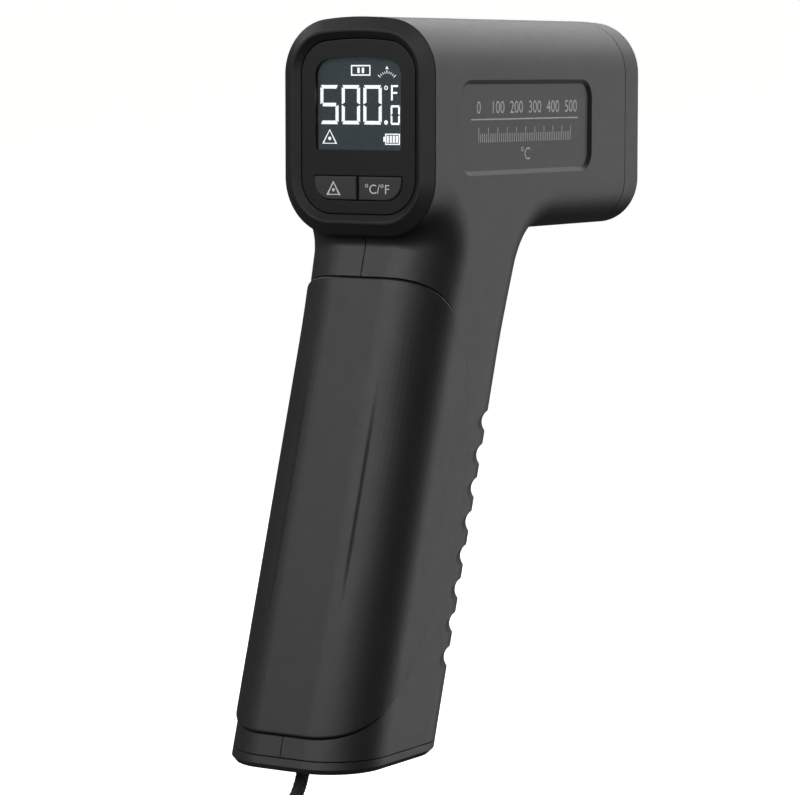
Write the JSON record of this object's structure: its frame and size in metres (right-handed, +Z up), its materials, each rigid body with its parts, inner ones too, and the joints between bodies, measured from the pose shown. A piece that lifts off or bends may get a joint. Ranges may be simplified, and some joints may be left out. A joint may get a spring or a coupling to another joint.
{
  "type": "infrared thermometer",
  "caption": "Pistol-grip infrared thermometer with a rear display, two keys, a finger trigger, a wrap-round battery cover and a hanging wrist cord.",
  "frame": {"origin": "on the grip's centre line at half its height, where the hand holds it (mount hand_grip)", "axes": "+X to the muzzle along the barrel, +Y to the user's left, +Z up"},
  "size_m": [0.145, 0.0404, 0.2665],
  "materials": {
    "housing_abs": "fine spark-eroded texture, dark grey",
    "bezel_abs": "fine texture, near black",
    "plate_abs": "satin, near black",
    "cover_abs": "fine texture, dark grey",
    "trigger_abs": "satin, black",
    "key_abs": "satin, dark grey with white pad-printed marks",
    "clear_acrylic": "clear, hard coated",
    "lcd_cell": "negative display, dark with white segments",
    "light_guide": "frosted clear",
    "contact_rubber": "striped conductive rubber",
    "white_plastic": "satin white",
    "black_plastic": "satin black",
    "circuit_board": "green solder mask",
    "zinc_steel": "zinc plated",
    "spring_wire": "nickel-plated wire",
    "nickel_can": "nickel plated",
    "anodised_tube": "black anodised",
    "infrared_lens": "dark, coated",
    "laser_brass": "turned",
    "battery_sleeve": "shrink sleeve, blue and silver",
    "wire_jacket": "PVC jacket",
    "woven_cord": "round braided polyester",
    "ferrule_plastic": "satin black"
  },
  "bodies": {
    "root": {"left_housing": "housing_abs", "right_housing": "housing_abs", "housing_screws": "zinc_steel", "display_bezel": "bezel_abs", "display_plate": "plate_abs", "display_window": "clear_acrylic", "lcd_glass": "lcd_cell", "lcd_backlight": "light_guide", "lcd_contact_strip": "contact_rubber", "lcd_frame": "white_plastic", "key_switches": "black_plastic", "main_board": "circuit_board", "board_screws": "zinc_steel", "board_parts": "black_plastic", "buzzer": "black_plastic", "nozzle_cap": "housing_abs", "laser_window": "clear_acrylic", "sensor_tube": "anodised_tube", "infrared_lens": "infrared_lens", "lens_ring": "anodised_tube", "sensor_board": "circuit_board", "thermopile": "nickel_can", "laser_module": "laser_brass", "laser_board": "circuit_board", "trigger_pin": "zinc_steel", "trigger_spring": "spring_wire", "switch_board": "circuit_board", "trigger_switch": "black_plastic", "battery_tray": "black_plastic", "battery_1": "battery_sleeve", "battery_2": "battery_sleeve", "battery_springs": "spring_wire", "battery_contacts": "nickel_can", "wire_harness": "wire_jacket", "base_cap": "housing_abs", "wrist_cord": "woven_cord", "cord_knot": "woven_cord", "cord_ferrule": "ferrule_plastic"},
    "laser_button": {"laser_button": "key_abs"},
    "unit_button": {"unit_button": "key_abs"},
    "trigger": {"trigger": "trigger_abs"},
    "battery_cover": {"battery_cover": "cover_abs"}
  },
  "joints": [
    {"name": "trigger_pull", "type": "hinge", "parent": "root", "child": "trigger", "pos_m": [0.0306, 0, 0.0505], "axis": [0, 1, 0], "range_deg": [0, 7], "stiffness_Nm_per_rad": 0.25, "springref_deg": -8.59, "deforming": ["trigger_spring"]},
    {"name": "laser_button_press", "type": "slide", "parent": "root", "child": "laser_button", "axis": [1, 0, 0], "range_m": [0, 0.0005], "stiffness_N_per_m": 800, "springref_m": -0.001},
    {"name": "unit_button_press", "type": "slide", "parent": "root", "child": "unit_button", "axis": [1, 0, 0], "range_m": [0, 0.0005], "stiffness_N_per_m": 800, "springref_m": -0.001},
    {"name": "battery_cover_off", "type": "slide", "parent": "root", "child": "battery_cover", "axis": [-1, 0, 0], "range_m": [0, 0.045]}
  ]
}
